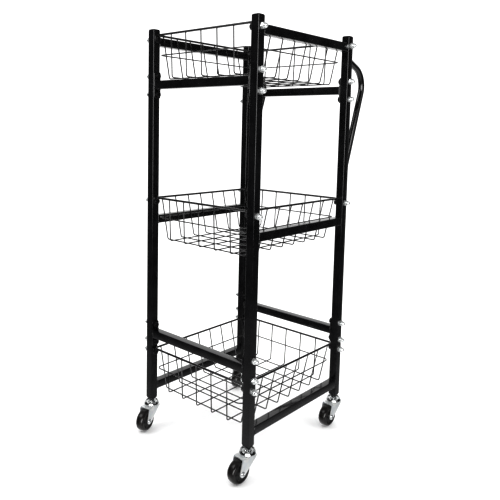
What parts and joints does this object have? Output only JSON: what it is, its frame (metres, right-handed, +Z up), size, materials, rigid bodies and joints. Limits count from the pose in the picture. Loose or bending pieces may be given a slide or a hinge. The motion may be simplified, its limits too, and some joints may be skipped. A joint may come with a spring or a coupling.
{
  "type": "rolling pantry cart",
  "caption": "Tall narrow rolling pantry cart: square steel tube frame, stacked wire baskets bolted at their corners, rear bow handles and swivel casters.",
  "frame": {"origin": "on the floor, under the middle of the overall width and depth; the middle of the four posts is at y -0.0144", "axes": "+Z up, -Y to the front, +Y to the rear where the bow handles are, +X to the right side frame"},
  "size_m": [0.3776, 0.4855, 1.0035],
  "materials": {
    "black_powder_coat": "gloss black powder coat on steel",
    "black_coated_wire": "semi-gloss black coating on welded steel wire",
    "black_plastic": "satin moulded black plastic",
    "black_wheel": "satin black moulded wheel",
    "bright_zinc": "bright zinc-plated pressed steel",
    "bright_fasteners": "bright chrome-plated dome nuts with blackened bolt heads inside"
  },
  "bodies": {
    "frame": {"left_side_frame": "black_powder_coat", "right_side_frame": "black_powder_coat", "front_lower_crossbar": "black_powder_coat", "front_upper_crossbar": "black_powder_coat", "rear_lower_crossbar": "black_powder_coat", "rear_upper_crossbar": "black_powder_coat", "left_bow_handle": "black_powder_coat", "right_bow_handle": "black_powder_coat", "bottom_basket": "black_coated_wire", "middle_basket": "black_coated_wire", "top_basket": "black_coated_wire", "post_cap_front_left": "black_plastic", "post_cap_front_right": "black_plastic", "post_cap_rear_right": "black_plastic", "post_cap_rear_left": "black_plastic", "bottom_basket_bolt_front_left": "bright_fasteners", "bottom_basket_bolt_front_right": "bright_fasteners", "bottom_basket_bolt_rear_right": "bright_fasteners", "bottom_basket_bolt_rear_left": "bright_fasteners", "middle_basket_bolt_front_left": "bright_fasteners", "middle_basket_bolt_front_right": "bright_fasteners", "middle_basket_bolt_rear_right": "bright_fasteners", "middle_basket_bolt_rear_left": "bright_fasteners", "top_basket_bolt_front_left": "bright_fasteners", "top_basket_bolt_front_right": "bright_fasteners", "top_basket_bolt_rear_right": "bright_fasteners", "top_basket_bolt_rear_left": "bright_fasteners", "lower_crossbar_a_bolt_front_left": "bright_fasteners", "lower_crossbar_a_bolt_front_right": "bright_fasteners", "lower_crossbar_a_bolt_rear_right": "bright_fasteners", "lower_crossbar_a_bolt_rear_left": "bright_fasteners", "lower_crossbar_b_bolt_front_left": "bright_fasteners", "lower_crossbar_b_bolt_front_right": "bright_fasteners", "lower_crossbar_b_bolt_rear_right": "bright_fasteners", "lower_crossbar_b_bolt_rear_left": "bright_fasteners", "upper_crossbar_a_bolt_front_left": "bright_fasteners", "upper_crossbar_a_bolt_front_right": "bright_fasteners", "upper_crossbar_a_bolt_rear_right": "bright_fasteners", "upper_crossbar_a_bolt_rear_left": "bright_fasteners", "upper_crossbar_b_bolt_front_left": "bright_fasteners", "upper_crossbar_b_bolt_front_right": "bright_fasteners", "upper_crossbar_b_bolt_rear_right": "bright_fasteners", "upper_crossbar_b_bolt_rear_left": "bright_fasteners", "caster_stem_front_left": "bright_zinc", "caster_stem_front_right": "bright_zinc", "caster_stem_rear_right": "bright_zinc", "caster_stem_rear_left": "bright_zinc"},
    "front_left_fork": {"caster_fork_front_left": "bright_zinc", "caster_axle_front_left": "bright_zinc"},
    "front_left_wheel": {"caster_wheel_front_left": "black_wheel"},
    "front_right_fork": {"caster_fork_front_right": "bright_zinc", "caster_axle_front_right": "bright_zinc"},
    "front_right_wheel": {"caster_wheel_front_right": "black_wheel"},
    "rear_right_fork": {"caster_fork_rear_right": "bright_zinc", "caster_axle_rear_right": "bright_zinc"},
    "rear_right_wheel": {"caster_wheel_rear_right": "black_wheel"},
    "rear_left_fork": {"caster_fork_rear_left": "bright_zinc", "caster_axle_rear_left": "bright_zinc"},
    "rear_left_wheel": {"caster_wheel_rear_left": "black_wheel"}
  },
  "joints": [
    {"name": "front_left_swivel", "type": "hinge", "parent": "frame", "child": "front_left_fork", "pos_m": [-0.1635, -0.1884, 0.05], "axis": [0, 0, 1], "continuous": true},
    {"name": "front_left_wheel_spin", "type": "hinge", "parent": "front_left_fork", "child": "front_left_wheel", "pos_m": [-0.15743, -0.21471, 0.027], "axis": [0.9744, 0.225, 0], "continuous": true},
    {"name": "front_right_swivel", "type": "hinge", "parent": "frame", "child": "front_right_fork", "pos_m": [0.1635, -0.1884, 0.05], "axis": [0, 0, 1], "continuous": true},
    {"name": "front_right_wheel_spin", "type": "hinge", "parent": "front_right_fork", "child": "front_right_wheel", "pos_m": [0.16115, -0.2153, 0.027], "axis": [0.9962, -0.0872, 0], "continuous": true},
    {"name": "rear_right_swivel", "type": "hinge", "parent": "frame", "child": "rear_right_fork", "pos_m": [0.1635, 0.1596, 0.05], "axis": [0, 0, 1], "continuous": true},
    {"name": "rear_right_wheel_spin", "type": "hinge", "parent": "rear_right_fork", "child": "rear_right_wheel", "pos_m": [0.16256, 0.13262, 0.027], "axis": [0.9994, -0.0349, 0], "continuous": true},
    {"name": "rear_left_swivel", "type": "hinge", "parent": "frame", "child": "rear_left_fork", "pos_m": [-0.1635, 0.1596, 0.05], "axis": [0, 0, 1], "continuous": true},
    {"name": "rear_left_wheel_spin", "type": "hinge", "parent": "rear_left_fork", "child": "rear_left_wheel", "pos_m": [-0.15427, 0.13423, 0.027], "axis": [0.9397, 0.342, 0], "continuous": true}
  ]
}
